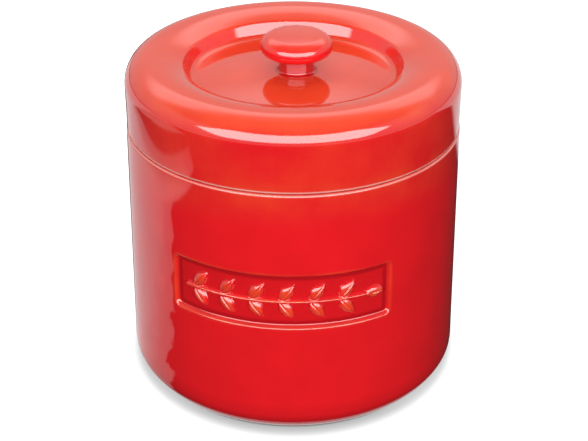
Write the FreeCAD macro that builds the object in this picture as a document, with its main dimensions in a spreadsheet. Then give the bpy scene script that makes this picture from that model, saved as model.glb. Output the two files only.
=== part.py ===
"""A glazed stoneware jar for bacon grease, with a cap lid and a hanging strainer.

The frame is in millimetres, +Z up. The origin is where the jar's axis meets the surface that it
stands on, and the panelled front of the jar faces -Y.
"""
import FreeCAD, Part
import math
import os
import re

import Sketcher

SIZES = [
    ("jar_base_radius", 54.15, "outer wall carried down to the base's sharp corner"),
    ("jar_taper", 1.5, "how far the outer wall draws in from the base up to the shoulder"),
    ("jar_shoulder_height", 84.6, "shoulder that the lid's skirt stands on"),
    ("jar_wall", 5.0, "wall of the jar"),
    ("jar_floor", 5.6, "thickness of the jar's floor"),
    ("jar_corner_radius", 6.8, "rounded corner between wall and base"),
    ("jar_inner_corner", 7.0, "round between the inner wall and the floor"),
    ("jar_shoulder_edge", 1.2, "rounded edge of the shoulder"),
    ("foot_inset", 0.25, "foot ring's outside in from the end of the rounded corner"),
    ("foot_width", 5.0, "width of the foot ring"),
    ("foot_height", 0.6, "height of the foot ring"),
    ("neck_height", 9.0, "neck above the shoulder"),
    ("neck_wall", 4.0, "wall of the neck"),
    ("neck_edge", 1.2, "rounded edges of the neck's rim"),
    ("neck_blend", 3.0, "round where the inner wall turns in to the neck"),
    ("panel_centre_angle", -4.6, "panel's middle, in degrees towards +X from the front"),
    ("panel_sweep", 75.5, "angle that the panel takes round the jar"),
    ("panel_bottom", 40.0, "lower edge of the sunk panel"),
    ("panel_height", 17.8, "height of the sunk panel"),
    ("panel_depth", 1.3, "depth of the sunk panel"),
    ("panel_corner", 1.6, "rounded corners of the panel's outline"),
    ("panel_edge", 0.4, "softened edge where the panel meets the wall"),
    ("stem_sweep", 65.0, "angle that the raised branch takes round the jar"),
    ("stem_thickness", 1.7, "thickness of the raised branch"),
    ("leaf_length", 7.2, "length of a raised leaf"),
    ("leaf_width", 3.3, "width of a raised leaf"),
    ("leaf_rise", 1.1, "height of a raised leaf above the panel's floor"),
    ("leaf_tilt", 52.0, "angle between a leaf and the branch, in degrees"),
    ("leaf_reach", 3.0, "distance from the branch to a leaf's middle, square to the branch"),
    ("lid_inset", 0.25, "outside of the lid's skirt in from the shoulder"),
    ("lid_height", 21.7, "lid from the skirt's lower edge to the crest of its rim"),
    ("lid_wall", 4.5, "wall of the lid"),
    ("lid_corner_radius", 7.7, "round from the skirt over to the crest"),
    ("lid_roll_radius", 20.0, "round from the crest in towards the well"),
    ("lid_well_fillet", 4.0, "round at the foot of the well's side"),
    ("lid_well_depth", 5.6, "well's floor below the crest"),
    ("lid_edge", 0.8, "rounded lower edges of the skirt"),
    ("lid_seat_gap", 0.3, "clearance between skirt and shoulder"),
    ("lid_neck_clearance", 0.8, "clearance between skirt and neck"),
    ("knob_offset", 1.0, "knob's axis towards +X from the jar's axis"),
    ("knob_radius", 11.2, "outside of the knob"),
    ("knob_thickness", 8.0, "knob from underside to crown"),
    ("knob_edge_radius", 3.0, "round at the knob's widest place"),
    ("knob_rise", 4.6, "knob's underside above the well's floor"),
    ("knob_stem_radius", 5.5, "stem under the knob"),
    ("knob_stem_flare", 1.6, "flare at the stem's foot"),
    ("knob_stem_blend", 1.0, "round between stem and knob"),
    ("sheet_thickness", 0.8, "steel of the strainer's cup"),
    ("strainer_seat_gap", 0.3, "clearance between flange and neck"),
    ("strainer_neck_clearance", 0.7, "clearance between cup and neck"),
    ("strainer_depth", 21.0, "cup below the flange"),
    ("flange_inset", 0.6, "flange's edge inside the neck's outer face"),
    ("flange_bend", 1.4, "bend under the flange"),
    ("cup_bend", 1.6, "bend between cup and lip"),
    ("lip_width", 5.6, "lip that carries the mesh, with its bend and wall"),
    ("mesh_thickness", 0.6, "thickness of the wire mesh"),
    ("mesh_pitch", 4.3, "spacing of the mesh's openings"),
    ("mesh_bar", 0.9, "bar between two openings"),
    ("mesh_clearance", 0.2, "clearance between the mesh and the cup's bend"),
    ("clamp_thickness", 0.8, "thickness of the clamp ring"),
]

LEAF_PAIRS = 6

doc = FreeCAD.newDocument("bacon_grease_container")


def fill_sheet():
    """The spreadsheet of driving sizes: alias, value and note on each row."""
    sheet = doc.addObject("Spreadsheet::Sheet", "Sizes")
    for row, (alias, value, note) in enumerate(SIZES, start=1):
        sheet.set(f"A{row}", alias)
        sheet.set(f"B{row}", str(value))
        sheet.set(f"C{row}", note)
        sheet.setAlias(f"B{row}", alias)
    doc.recompute()
    return sheet


sizes = fill_sheet()
ALIASES = re.compile(r"\b(" + "|".join(alias for alias, _, _ in SIZES) + r")\b")


def bound(formula):
    """A formula written in the sheet's aliases, as an expression that reads them."""
    return ALIASES.sub(r"Sizes.\1", formula)


def value(formula):
    """What a formula written in the sheet's aliases comes to now."""
    result = sizes.evalExpression(bound(formula))
    return float(getattr(result, "Value", result))


def bind(item, **properties):
    """Ties properties of a document object to formulas, with __ in place of a dot in a path."""
    for path, formula in properties.items():
        item.setExpression(path.replace("__", "."), bound(formula))


def origin_plane(body, role):
    """One of a body's own origin planes."""
    for feature in body.Origin.OriginFeatures:
        if feature.Role == role:
            return feature


def arc_between(first, last, radius, turn):
    """The arc under a half circle from first to last, turning left (1) or right (-1)."""
    start = FreeCAD.Vector(*first, 0)
    end = FreeCAD.Vector(*last, 0)
    chord = end - start
    middle = (start + end) / 2
    reach = math.sqrt(max(radius ** 2 - (chord.Length / 2) ** 2, 0))
    across = FreeCAD.Vector(-chord.y, chord.x, 0).normalize()
    centre = middle + across * (turn * reach)
    angles = [math.atan2(point.y - centre.y, point.x - centre.x) for point in (start, end)]
    if turn < 0:
        angles.reverse()
    if angles[1] < angles[0]:
        angles[1] += 2 * math.pi
    circle = Part.Circle(centre, FreeCAD.Vector(0, 0, 1), radius)
    return Part.ArcOfCircle(circle, *angles)


def pin(sketch, side, end, axis, formula):
    """Holds one end of a sketch's side at a distance from the origin along X or Y."""
    if formula == "0":
        line = -2 if axis == "DistanceX" else -1
        sketch.addConstraint(Sketcher.Constraint("PointOnObject", side, end, line))
        return
    constraint = Sketcher.Constraint(axis, -1, 1, side, end, value(formula))
    index = sketch.addConstraint(constraint)
    sketch.setExpression(f"Constraints[{index}]", bound(formula))


def draw_outline(body, name, corners, role="XZ_Plane"):
    """A closed sketch through corners, each (x, y) or, at the end of an arc, (x, y, radius, turn)."""
    sketch = body.newObject("Sketcher::SketchObject", name)
    sketch.AttachmentSupport = [(origin_plane(body, role), "")]
    sketch.MapMode = "FlatFace"
    places = [(value(corner[0]), value(corner[1])) for corner in corners]
    ends = []
    for index, corner in enumerate(corners):
        first = places[index - 1]
        last = places[index]
        if len(corner) == 2:
            side = sketch.addGeometry(Part.LineSegment(FreeCAD.Vector(*first, 0), FreeCAD.Vector(*last, 0)))
            ends.append((side, 1, 2))
            continue
        radius, turn = corner[2:]
        side = sketch.addGeometry(arc_between(first, last, value(radius), turn))
        ends.append((side, 1, 2) if turn > 0 else (side, 2, 1))
        index_radius = sketch.addConstraint(Sketcher.Constraint("Radius", side, value(radius)))
        sketch.setExpression(f"Constraints[{index_radius}]", bound(radius))
    for index, corner in enumerate(corners):
        side, _, end = ends[index]
        following, start, _ = ends[(index + 1) % len(corners)]
        sketch.addConstraint(Sketcher.Constraint("Coincident", side, end, following, start))
        pin(sketch, side, end, "DistanceX", corner[0])
        pin(sketch, side, end, "DistanceY", corner[1])
    return sketch


def turn_outline(label, corners):
    """A body turned round the upright axis from an outline of (radius, height) corners."""
    body = doc.addObject("PartDesign::Body", label)
    sketch = draw_outline(body, label + "_outline", corners)
    turned = body.newObject("PartDesign::Revolution", label + "_turned")
    turned.Profile = sketch
    turned.ReferenceAxis = (sketch, ["V_Axis"])
    turned.Angle = 360
    sketch.Visibility = False
    body.Tip = turned
    doc.recompute()
    return body


def round_edges(body, name, radius, wanted):
    """Rounds the edges of a body's last feature that wanted picks, by a radius given as a formula."""
    base = body.Tip
    edges = [f"Edge{index}" for index, edge in enumerate(base.Shape.Edges, start=1) if wanted(edge)]
    rounded = body.newObject("PartDesign::Fillet", name)
    rounded.Base = (base, edges)
    bind(rounded, Radius=radius)
    body.Tip = rounded
    doc.recompute()


def ring_at(*places):
    """A test for whole circular edges at the given (radius, height) formulas."""
    wanted = [(value(radius), value(height)) for radius, height in places]

    def matches(edge):
        if edge.Degenerated or not edge.Closed or not isinstance(edge.Curve, Part.Circle):
            return False
        radius = edge.Curve.Radius
        height = edge.Curve.Center.z
        return any(math.hypot(radius - r, height - z) < 1e-4 for r, z in wanted)

    return matches


def wall_radius(height):
    """The outer wall's radius at a height above the ground, as a formula."""
    return f"(jar_base_radius - jar_taper * ({height} - foot_height) / (jar_shoulder_height - foot_height))"


FLOOR_TOP = "(foot_height + jar_floor)"
NECK_TOP = "(jar_shoulder_height + neck_height)"
SHOULDER_RADIUS = "(jar_base_radius - jar_taper)"
FOOT_OUTER = "(jar_base_radius - jar_corner_radius - foot_inset)"
SKIRT_RADIUS = f"({SHOULDER_RADIUS} - lid_inset)"
NECK_OUTER = f"({SKIRT_RADIUS} - lid_wall - lid_neck_clearance)"
MOUTH = f"({NECK_OUTER} - neck_wall)"
INNER_SHOULDER = "(jar_shoulder_height - jar_wall)"
PANEL_TOP = "(panel_bottom + panel_height)"
PANEL_MIDDLE = "(panel_bottom + panel_height / 2)"
PANEL_FLOOR = f"({wall_radius(PANEL_MIDDLE)} - panel_depth)"


def make_jar():
    """The jar: flared wall, foot ring, shoulder, inset neck and the sunk panel on its front."""
    inner_top = f"({wall_radius(INNER_SHOULDER)} - jar_wall)"
    turn_in = f"({INNER_SHOULDER} - ({inner_top} - {MOUTH}))"
    body = turn_outline("jar_body", [
        ("0", "foot_height"),
        (f"{FOOT_OUTER} - foot_width", "foot_height"),
        (f"{FOOT_OUTER} - foot_width", "0"),
        (FOOT_OUTER, "0"),
        (FOOT_OUTER, "foot_height"),
        ("jar_base_radius", "foot_height"),
        (SHOULDER_RADIUS, "jar_shoulder_height"),
        (NECK_OUTER, "jar_shoulder_height"),
        (NECK_OUTER, NECK_TOP),
        (MOUTH, NECK_TOP),
        (MOUTH, INNER_SHOULDER),
        (f"{wall_radius(turn_in)} - jar_wall", turn_in),
        (f"{wall_radius(FLOOR_TOP)} - jar_wall", FLOOR_TOP),
        ("0", FLOOR_TOP),
    ])
    round_edges(body, "base_corner", "jar_corner_radius", ring_at(("jar_base_radius", "foot_height")))
    shoulder = ring_at((SHOULDER_RADIUS, "jar_shoulder_height"))
    round_edges(body, "shoulder_edge", "jar_shoulder_edge", shoulder)
    round_edges(body, "rim_edges", "neck_edge", ring_at((NECK_OUTER, NECK_TOP), (MOUTH, NECK_TOP)))
    blend = ring_at((MOUTH, INNER_SHOULDER), (f"{wall_radius(turn_in)} - jar_wall", turn_in))
    round_edges(body, "neck_blends", "neck_blend", blend)
    inner_corner = ring_at((f"{wall_radius(FLOOR_TOP)} - jar_wall", FLOOR_TOP))
    round_edges(body, "inner_corner", "jar_inner_corner", inner_corner)
    sink_panel(body)
    return body


def sink_panel(body):
    """Cuts the panel into the jar's front, with a round floor, and rounds its outline and edges."""
    outside = "jar_base_radius + panel_depth"
    sketch = draw_outline(body, "panel_section", [
        (PANEL_FLOOR, "panel_bottom"),
        (outside, "panel_bottom"),
        (outside, PANEL_TOP),
        (PANEL_FLOOR, PANEL_TOP),
    ])
    middle = "panel_centre_angle - 90"
    upright = FreeCAD.Vector(0, 1, 0)
    sketch.AttachmentOffset = FreeCAD.Placement(FreeCAD.Vector(), FreeCAD.Rotation(upright, 1))
    bind(sketch, AttachmentOffset__Rotation__Angle=middle)
    groove = body.newObject("PartDesign::Groove", "panel")
    groove.Profile = sketch
    groove.ReferenceAxis = (sketch, ["V_Axis"])
    groove.Midplane = True
    bind(groove, Angle="panel_sweep")
    body.Tip = groove
    doc.recompute()

    floor = value(PANEL_FLOOR)
    low = value("panel_bottom")
    high = value(PANEL_TOP)

    def across_wall(edge):
        ends = [vertex.Point for vertex in edge.Vertexes]
        if len(ends) != 2 or not isinstance(edge.Curve, Part.Line):
            return False
        level = abs(ends[0].z - ends[1].z) < 1e-6 and min(abs(ends[0].z - low), abs(ends[0].z - high)) < 1e-6
        reaches = sorted(math.hypot(point.x, point.y) for point in ends)
        return level and abs(reaches[0] - floor) < 1e-6

    def on_wall(edge):
        points = [edge.valueAt(edge.FirstParameter + share * (edge.LastParameter - edge.FirstParameter))
                  for share in (0.0, 0.5, 1.0)]
        inside = all(low - 1e-4 <= point.z <= high + 1e-4 for point in points)
        wall = all(abs(math.hypot(point.x, point.y) - surface(point.z)) < 1e-3 for point in points)
        return inside and wall

    def surface(height):
        return value(wall_radius(str(height)))

    round_edges(body, "panel_corners", "panel_corner", across_wall)
    round_edges(body, "panel_edge", "panel_edge", on_wall)


def place_round(azimuth, radius, height, tilt=0.0):
    """A placement on the jar's wall: local X along the wall, Y upright, Z outwards, tilted about Z."""
    turned = FreeCAD.Rotation(FreeCAD.Vector(0, 0, 1), azimuth)
    facing = FreeCAD.Rotation(FreeCAD.Vector(1, 0, 0), 90)
    tilted = FreeCAD.Rotation(FreeCAD.Vector(0, 0, 1), tilt)
    outward = turned.multVec(FreeCAD.Vector(0, -radius, height))
    return FreeCAD.Placement(outward, turned.multiply(facing).multiply(tilted))


def make_relief():
    """A raised branch along the panel's floor, with pairs of leaves and a leaf at its tip."""
    stem = doc.addObject("Part::Torus", "branch_stem")
    bind(stem, Radius1=PANEL_FLOOR, Radius2="stem_thickness / 2", Angle3="stem_sweep")
    bind(stem, Placement__Base__z=PANEL_MIDDLE)
    stem.Placement.Rotation = FreeCAD.Rotation(FreeCAD.Vector(0, 0, 1), 1)
    bind(stem, Placement__Rotation__Angle="panel_centre_angle - 90 - stem_sweep / 2")
    pieces = [stem]
    pitch = value("stem_sweep") / (LEAF_PAIRS + 0.5)
    start = value("panel_centre_angle - stem_sweep / 2")
    floor = value(PANEL_FLOOR)
    middle = value(PANEL_MIDDLE)
    reach = value("leaf_reach")
    tilt = value("leaf_tilt")
    for pair in range(LEAF_PAIRS):
        azimuth = start + pitch * (pair + 0.5)
        for side in (1, -1):
            leaf = doc.addObject("Part::Ellipsoid", f"leaf_{pair + 1}_{'upper' if side > 0 else 'lower'}")
            leaf.Placement = place_round(azimuth, floor, middle + side * reach, side * tilt)
            pieces.append(leaf)
    tip = doc.addObject("Part::Ellipsoid", "leaf_tip")
    tip.Placement = place_round(start + value("stem_sweep"), floor, middle)
    pieces.append(tip)
    for leaf in pieces[1:]:
        bind(leaf, Radius1="leaf_rise", Radius2="leaf_length / 2", Radius3="leaf_width / 2")
        leaf.Angle1 = -90
        leaf.Angle2 = 90
        leaf.Angle3 = 360
    branch = doc.addObject("Part::MultiFuse", "branch_whole")
    branch.Shapes = pieces
    core = doc.addObject("Part::Cylinder", "panel_floor_core")
    bind(core, Radius=PANEL_FLOOR, Height=NECK_TOP)
    relief = doc.addObject("Part::Cut", "panel_relief")
    relief.Base = branch
    relief.Tool = core
    return relief


SKIRT = "(jar_shoulder_height + lid_seat_gap)"
CREST = f"({SKIRT} + lid_height)"
CREST_RADIUS = f"({SKIRT_RADIUS} - lid_corner_radius)"
WELL_FLOOR = f"({CREST} - lid_well_depth)"
ROLL_COS = "(1 - lid_well_depth / (lid_roll_radius + lid_well_fillet))"
ROLL_SIN = f"sqrt(1 - {ROLL_COS} ^ 2)"


def make_lid():
    """The cap lid: one wall that goes up the skirt, over the crest and down into a shallow well."""
    well_radius = f"{CREST_RADIUS} - (lid_roll_radius + lid_well_fillet) * {ROLL_SIN}"
    roll_centre = f"({CREST} - lid_roll_radius)"
    inner_roll = "(lid_roll_radius - lid_wall)"
    return turn_outline("lid_shell", [
        ("0", f"{WELL_FLOOR} - lid_wall"),
        (well_radius, f"{WELL_FLOOR} - lid_wall"),
        (f"{CREST_RADIUS} - {inner_roll} * {ROLL_SIN}", f"{roll_centre} + {inner_roll} * {ROLL_COS}",
         "lid_well_fillet + lid_wall", 1),
        (CREST_RADIUS, f"{CREST} - lid_wall", inner_roll, -1),
        (f"{SKIRT_RADIUS} - lid_wall", f"{CREST} - lid_corner_radius", "lid_corner_radius - lid_wall", -1),
        (f"{SKIRT_RADIUS} - lid_wall", f"{SKIRT} + lid_edge"),
        (f"{SKIRT_RADIUS} - lid_wall + lid_edge", SKIRT, "lid_edge", 1),
        (f"{SKIRT_RADIUS} - lid_edge", SKIRT),
        (SKIRT_RADIUS, f"{SKIRT} + lid_edge", "lid_edge", 1),
        (SKIRT_RADIUS, f"{CREST} - lid_corner_radius"),
        (CREST_RADIUS, CREST, "lid_corner_radius", 1),
        (f"{CREST_RADIUS} - lid_roll_radius * {ROLL_SIN}", f"{roll_centre} + lid_roll_radius * {ROLL_COS}",
         "lid_roll_radius", 1),
        (well_radius, WELL_FLOOR, "lid_well_fillet", -1),
        ("0", WELL_FLOOR),
    ])


def make_knob():
    """The knob: a flat domed button on a short stem that flares out on to the well's floor."""
    half = "(knob_thickness / 2)"
    edge_centre = "(knob_radius - knob_edge_radius)"
    dome = f"(({edge_centre} ^ 2 + {half} ^ 2 - knob_edge_radius ^ 2) / (2 * ({half} - knob_edge_radius)))"
    middle = f"({WELL_FLOOR} + knob_rise + {half})"
    along = f"({dome} / ({dome} - knob_edge_radius))"
    touch_radius = f"{along} * {edge_centre}"
    touch_height = f"({half} - {dome} + {along} * ({dome} - {half}))"
    underside = f"({dome} - {half} - sqrt({dome} ^ 2 - knob_stem_radius ^ 2))"
    body = turn_outline("lid_knob", [
        ("0", WELL_FLOOR),
        ("knob_stem_radius + knob_stem_flare", WELL_FLOOR),
        ("knob_stem_radius", f"{WELL_FLOOR} + knob_stem_flare", "knob_stem_flare", -1),
        ("knob_stem_radius", f"{middle} + {underside}"),
        (touch_radius, f"{middle} - {touch_height}", dome, 1),
        (touch_radius, f"{middle} + {touch_height}", "knob_edge_radius", 1),
        ("0", f"{middle} + {half}", dome, 1),
    ])
    neck = ring_at(("knob_stem_radius", f"{middle} + {underside}"))
    round_edges(body, "stem_blend", "knob_stem_blend", neck)
    bind(body, Placement__Base__x="knob_offset")
    return body


FLANGE = f"({NECK_TOP} + strainer_seat_gap)"
CUP_OUTER = f"({MOUTH} - strainer_neck_clearance)"
CUP_INNER = f"({CUP_OUTER} - sheet_thickness)"
CUP_BOTTOM = f"({FLANGE} - strainer_depth)"
LIP_TOP = f"({CUP_BOTTOM} + sheet_thickness)"
LIP_OUTER = f"({CUP_INNER} - cup_bend)"
LIP_INNER = f"({CUP_OUTER} - lip_width)"
MESH_RADIUS = f"({LIP_OUTER} - mesh_clearance)"
MESH_TOP = f"({LIP_TOP} + mesh_thickness)"


def make_strainer_cup():
    """The strainer's pressed cup: flat flange, straight wall and an inward lip."""
    return turn_outline("strainer_cup", [
        (f"{NECK_OUTER} - flange_inset", FLANGE),
        (f"{NECK_OUTER} - flange_inset", f"{FLANGE} + sheet_thickness"),
        (f"{CUP_OUTER} + flange_bend", f"{FLANGE} + sheet_thickness"),
        (CUP_INNER, f"{FLANGE} - flange_bend", "flange_bend + sheet_thickness", 1),
        (CUP_INNER, f"{LIP_TOP} + cup_bend"),
        (LIP_OUTER, LIP_TOP, "cup_bend", -1),
        (LIP_INNER, LIP_TOP),
        (LIP_INNER, CUP_BOTTOM),
        (LIP_OUTER, CUP_BOTTOM),
        (CUP_OUTER, f"{LIP_TOP} + cup_bend", "cup_bend + sheet_thickness", 1),
        (CUP_OUTER, f"{FLANGE} - flange_bend"),
        (f"{CUP_OUTER} + flange_bend", FLANGE, "flange_bend", -1),
    ])


def make_mesh():
    """The wire mesh as one thin disc with square openings, clear of the lip all round."""
    pitch = value("mesh_pitch")
    opening = pitch - value("mesh_bar")
    reach = value(LIP_INNER) - value("mesh_bar")
    rows = int(reach / pitch) + 1
    outer = Part.Wire(Part.makeCircle(value(MESH_RADIUS)))
    holes = []
    for column in range(-rows, rows + 1):
        for row in range(-rows, rows + 1):
            x = column * pitch
            y = row * pitch
            if math.hypot(abs(x) + opening / 2, abs(y) + opening / 2) > reach:
                continue
            half = opening / 2
            ring = [(x - half, y - half), (x + half, y - half), (x + half, y + half), (x - half, y + half)]
            ring.append(ring[0])
            holes.append(Part.makePolygon([FreeCAD.Vector(*point, 0) for point in ring]))
    face = Part.makeFace([outer] + holes, "Part::FaceMakerBullseye")
    disc = face.extrude(FreeCAD.Vector(0, 0, value("mesh_thickness")))
    mesh = doc.addObject("Part::Feature", "strainer_mesh")
    mesh.Shape = disc
    bind(mesh, Placement__Base__z=LIP_TOP)
    return mesh


def make_clamp():
    """The flat ring that holds the mesh down on the cup's lip."""
    return turn_outline("strainer_clamp_ring", [
        (LIP_INNER, MESH_TOP),
        (MESH_RADIUS, MESH_TOP),
        (MESH_RADIUS, f"{MESH_TOP} + clamp_thickness"),
        (LIP_INNER, f"{MESH_TOP} + clamp_thickness"),
    ])


def check(parts):
    """Stops if any object has failed, or a sub-part's shape is missing or broken."""
    for item in doc.Objects:
        if "Invalid" in item.State or "Error" in item.State:
            raise RuntimeError(f"{item.Label} failed: {item.State}")
    for part in parts:
        if part.Shape.isNull() or not part.Shape.isValid():
            raise RuntimeError(f"{part.Label} has no valid shape")


def main():
    """Builds every sub-part and writes one STEP file for each."""
    parts = [
        make_jar(),
        make_relief(),
        make_lid(),
        make_knob(),
        make_strainer_cup(),
        make_mesh(),
        make_clamp(),
    ]
    doc.recompute()
    check(parts)
    os.makedirs("parts", exist_ok=True)
    for part in parts:
        part.Shape.exportStep(f"parts/{part.Label}.step")
        box = part.Shape.BoundBox
        print(part.Label, len(part.Shape.Solids), "solid(s)", round(part.Shape.Volume), "mm3",
              f"z {box.ZMin:.2f} to {box.ZMax:.2f}, width {box.XLength:.2f}")


main()
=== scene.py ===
"""A red glazed stoneware jar for bacon grease, dressed for its portrait.

The jar, the cap lid, the knob and the raised branch are smooth surfaces turned or pressed with numpy;
the strainer's wire mesh is woven from single wires. Lengths are in metres.
"""
import math

import bpy
import numpy as np
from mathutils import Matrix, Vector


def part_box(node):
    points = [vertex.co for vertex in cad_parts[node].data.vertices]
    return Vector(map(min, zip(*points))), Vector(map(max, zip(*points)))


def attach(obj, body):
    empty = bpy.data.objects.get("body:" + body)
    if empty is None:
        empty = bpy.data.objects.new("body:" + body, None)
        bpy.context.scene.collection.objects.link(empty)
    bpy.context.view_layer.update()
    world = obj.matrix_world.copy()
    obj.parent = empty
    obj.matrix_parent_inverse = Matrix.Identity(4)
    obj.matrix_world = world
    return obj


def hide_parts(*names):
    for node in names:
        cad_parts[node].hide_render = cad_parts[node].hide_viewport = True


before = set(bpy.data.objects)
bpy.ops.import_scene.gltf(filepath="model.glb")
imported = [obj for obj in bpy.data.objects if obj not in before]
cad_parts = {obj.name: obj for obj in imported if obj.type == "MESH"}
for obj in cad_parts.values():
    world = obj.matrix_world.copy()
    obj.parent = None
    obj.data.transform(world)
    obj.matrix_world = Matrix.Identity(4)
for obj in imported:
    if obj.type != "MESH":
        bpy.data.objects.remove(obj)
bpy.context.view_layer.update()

MM = 0.001

PHOTO_WIDTH = 588
FOCAL_PIXELS = 1323.96
SENSOR_WIDTH = 36.0
CAMERA_PLACE = (0.00023, -0.38239, 0.26273)
CAMERA_PITCH = math.radians(29.43)

# The jar's sizes, as they are in its solid apart from the sharper edge of the shoulder.
BASE_RADIUS = 54.15 * MM
TAPER = 1.5 * MM
SHOULDER_HEIGHT = 84.6 * MM
WALL = 5.0 * MM
FLOOR_THICKNESS = 5.6 * MM
CORNER_RADIUS = 6.8 * MM
INNER_CORNER = 7.0 * MM
FOOT_HEIGHT = 0.6 * MM
FOOT_INSET = 0.25 * MM
FOOT_WIDTH = 5.0 * MM
FOOT_EDGE = 0.2 * MM
SHOULDER_EDGE = 0.7 * MM
NECK_HEIGHT = 9.0 * MM
NECK_WALL = 4.0 * MM
NECK_EDGE = 1.2 * MM
NECK_BLEND = 3.0 * MM

# The lid's and knob's sizes. The well and the button are shaped more closely than in the solids.
LID_INSET = 0.25 * MM
LID_GAP = 0.3 * MM
LID_HEIGHT = 21.7 * MM
LID_WALL = 4.5 * MM
LID_NECK_CLEARANCE = 0.8 * MM
LID_CORNER = 7.7 * MM
LID_WELL = 5.6 * MM
LID_EDGE = 0.5 * MM
CREST_FLAT = 1.6 * MM
WELL_ROLL = 18.0 * MM
WELL_GENTLE = 28.0
WELL_TURN = 1.6 * MM
WELL_STEEP = 67.0
WELL_FILLET = 2.4 * MM
WELL_DOME = 1.6 * MM
KNOB_OFFSET = 1.0 * MM
KNOB_RADIUS = 11.2 * MM
KNOB_CROWN = 4.0 * MM
KNOB_BELLY = 3.0 * MM
KNOB_EDGE = 3.7 * MM
KNOB_UNDER_EDGE = 2.5 * MM
KNOB_RISE = 7.9 * MM
STEM_RADIUS = 5.5 * MM
STEM_FLARE = 1.1 * MM
STEM_BLEND = 1.0 * MM
LID_COLUMNS = 288
KNOB_COLUMNS = 128

SHOULDER_RADIUS = BASE_RADIUS - TAPER
SKIRT_RADIUS = SHOULDER_RADIUS - LID_INSET
NECK_TOP = SHOULDER_HEIGHT + NECK_HEIGHT
NECK_RADIUS = SKIRT_RADIUS - LID_WALL - LID_NECK_CLEARANCE
MOUTH_RADIUS = NECK_RADIUS - NECK_WALL
FLOOR_TOP = FOOT_HEIGHT + FLOOR_THICKNESS
SKIRT_FOOT = SHOULDER_HEIGHT + LID_GAP
CREST = SKIRT_FOOT + LID_HEIGHT
WELL_FLOOR = CREST - LID_WELL

# The sunk panel, and the branch in it.
PANEL_CENTRE = math.radians(-4.6)
PANEL_SWEEP = math.radians(75.5)
PANEL_BOTTOM = 40.0 * MM
PANEL_HEIGHT = 17.8 * MM
PANEL_DEPTH = 1.3 * MM
PANEL_CORNER = 1.6 * MM
PANEL_SLOPE = 0.75 * MM
PANEL_EASE = 0.35
PANEL_COLUMNS = 240
PLAIN_COLUMNS = 112
BRANCH_SWEEP = math.radians(65.0)
LEAF_PAIRS = 6
LEAF_LENGTH = 7.2 * MM
LEAF_WIDTH = 4.3 * MM
LEAF_TILT = math.radians(52.0)
LEAF_REACH = 3.0 * MM
RELIEF_RISE = 1.35 * MM
STEM_WIDTH = 1.7 * MM
PATCH_MARGIN = 0.09
PATCH_HALF_HEIGHT = 6.6 * MM
PATCH_COLUMNS = 340
PATCH_ROWS = 74
BURIED = 0.15 * MM

# Where the glaze has pooled in the panel and run pale on its lip, how far below the shoulder it grows
# sparse, and how high the painted shade at the base reaches and fades.
POOL_PLACE = 1.1 * MM
POOL_SPREAD = 0.75 * MM
LIP_PLACE = 0.25 * MM
LIP_SPREAD = 0.55 * MM
LIP_THIN = 0.55
SHOULDER_THIN = 0.36
SHOULDER_FADE = 14 * MM
BASE_POOL_TOP = 10.5 * MM
BASE_POOL_FADE = 8 * MM

# The woven wires of the strainer's mesh.
WIRE_RADIUS = 0.145 * MM
WIRE_PITCH = 1.5 * MM
WIRE_SIDES = 6
WIRE_STEPS = 3

# The glaze and the clay under it.
GLAZE_INDEX = 1.72
RED_GLAZE = (0.76, 0.0100, 0.0150, 1.0)
# The paler orange also paints the warmer light from above on faces turned up, and the dark red also paints
# shade at the jar's base and under the knob.
THIN_GLAZE = (0.73, 0.058, 0.020, 1.0)
DEEP_GLAZE = (0.42, 0.0045, 0.0090, 1.0)
BARE_CLAY = (0.80, 0.40, 0.34, 1.0)
WALL_RIPPLE = 0.00003
FINE_RIPPLE = 0.00001
PIT_DEPTH = 0.0000012

# The strainer's steels.
WIRE_STEEL = (0.72, 0.72, 0.70, 1.0)
CUP_STEEL = (0.70, 0.70, 0.685, 1.0)
RING_STEEL = (0.66, 0.66, 0.65, 1.0)

# The colours of the stage's lights and of what gives back no light.
WHITE = (1.0, 1.0, 1.0, 1.0)
BLACK = (0.0, 0.0, 0.0, 1.0)

# The floor: steps outward from the jar's axis, each from one distance to another, then the values there.
SHEET_SIDES = 96
FLOOR_RADII = (0.0005, 0.2, 0.6, 4.0)
FLOOR_LEVEL = -0.00005
FLOOR_TONE = 0.88
# The first two paint the jar's shadow at its foot into the floor's tone; the lifts are its glow for the
# camera alone, kept low by the foot and raised to the sides, which paints the shadow's edge and lightens
# it aside.
CONTACT_RING = (0.0487, 0.0500, 0.22, 0.66)
FADING_RING = (0.0500, 0.0580, 1.0, 1.5)
LIFT_RING = (0.0490, 0.0600, 0.0, 0.60)
LIFT_ASIDE = (0.018, 0.045, 0.0, 0.16)
LIFT_FAR = (0.2, 0.7, 0.0, 1.0)

# The table that the glaze mirrors: steps from one place to another, then the values there.
CARD_RADII = (0.046, 0.3, 1.3)
CARD_LEVEL = 0.0003
CARD_RAG = 0.03
PALE_LINE = (-0.178, -0.192, -0.035, -0.100)
PALE_EDGE = (0.0, 0.003)
PALE_GLOW = (0.0, 0.04, 0.55, 0.85)
PALE_SIDE = (-0.034, -0.040)
PALE_FAR = (-0.19, -0.21, 1.0, 0.6)
WEDGE_SLANT = 0.35
WEDGE_EDGE = (-0.052, -0.057, 0.04, 1.0)
GAP_RIGHT = (-0.212, -0.222)
GAP_LEFT = (-0.256, -0.246)
GAP_GLOW = (0.0, 1.0, 1.0, 0.12)
FAR_EDGE = (0.125, 0.15)
FAR_GLOW = 0.9
FAR_RIGHT = (0.0, 0.03, 0.0, FAR_GLOW)
FRONT_EDGE = (0.45, 1.3)
FRONT_GLOW = 1.2
NEAR_RING = (0.0550, 0.0532, 0.03, 0.90)
TABLE_FILL = 0.42

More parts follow.
